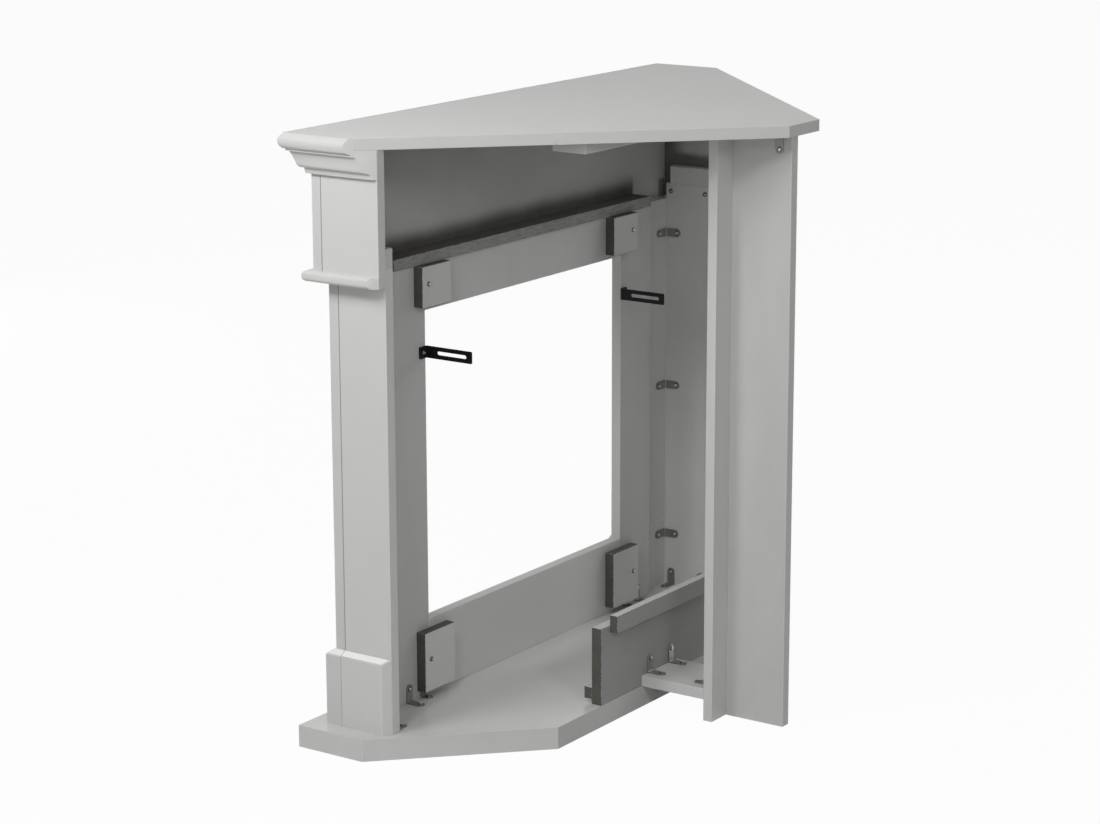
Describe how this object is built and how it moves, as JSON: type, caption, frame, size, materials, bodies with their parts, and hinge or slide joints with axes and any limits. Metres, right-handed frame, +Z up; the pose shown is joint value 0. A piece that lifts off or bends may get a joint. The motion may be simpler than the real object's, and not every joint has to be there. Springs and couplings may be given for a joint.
{
  "type": "corner fireplace surround",
  "caption": "Painted corner fireplace surround with mitred crown and bead mouldings, pilasters on plinths, an opening for a fire insert and swivelling slotted fixing arms.",
  "frame": {"origin": "middle of the footprint's bounding box, on the floor", "axes": "+X along the front to the right of someone who faces the fire, +Y from the front towards the corner of the room, +Z up"},
  "size_m": [1.034, 0.595, 0.955],
  "materials": {
    "paint": "satin paint on fibreboard",
    "paint_inside": "thin matt paint on fibreboard",
    "raw_board": "raw fibreboard, sealed dark",
    "zinc_steel": "zinc plated",
    "black_steel": "satin black powder coat",
    "screw_steel": "bright zinc"
  },
  "bodies": {
    "surround": {"top_main": "paint", "top_rear": "paint", "top_seam_batten": "raw_board", "crown_front": "paint", "crown_left": "paint", "crown_right": "paint", "frieze_front": "paint", "frieze_left": "paint", "frieze_right": "paint", "bead_front": "paint", "bead_left": "paint", "bead_right": "paint", "frieze_soffit": "paint_inside", "frieze_cleat_left": "raw_board", "frieze_cleat_right": "raw_board", "pilaster_front_left": "paint", "pilaster_front_right": "paint", "pilaster_side_left": "paint", "pilaster_side_right": "paint", "panel_stile_left": "paint_inside", "panel_stile_right": "paint_inside", "panel_header": "paint_inside", "panel_sill": "paint_inside", "plinth_front_left": "paint", "plinth_front_right": "paint", "plinth_side_left": "paint", "plinth_side_right": "paint", "base_plate": "paint", "block_upper_left": "paint", "block_upper_right": "paint", "block_lower_left": "paint", "block_lower_right": "paint", "rail": "paint", "rail_batten": "raw_board", "rail_cleat": "raw_board", "stretcher": "paint", "post_cross": "paint", "post_fin": "paint", "corner_brackets_left": "zinc_steel", "corner_brackets_right": "zinc_steel", "side_foot_brackets_left": "zinc_steel", "side_foot_brackets_right": "zinc_steel", "panel_foot_brackets": "zinc_steel", "rail_brackets": "zinc_steel", "post_foot_bracket": "zinc_steel", "post_top_bracket": "zinc_steel", "bracket_screws": "screw_steel", "block_screws": "screw_steel", "lap_screws": "screw_steel", "pivot_screws": "screw_steel"},
    "insert_bracket_left": {"insert_bracket_left": "black_steel"},
    "insert_bracket_right": {"insert_bracket_right": "black_steel"}
  },
  "joints": [
    {"name": "left_arm_swivel", "type": "hinge", "parent": "surround", "child": "insert_bracket_left", "pos_m": [-0.283, -0.2115, 0.592], "axis": [0, 1, 0], "range_deg": [-90, 90]},
    {"name": "right_arm_swivel", "type": "hinge", "parent": "surround", "child": "insert_bracket_right", "pos_m": [0.283, -0.2115, 0.592], "axis": [0, 1, 0], "range_deg": [-90, 90]}
  ]
}
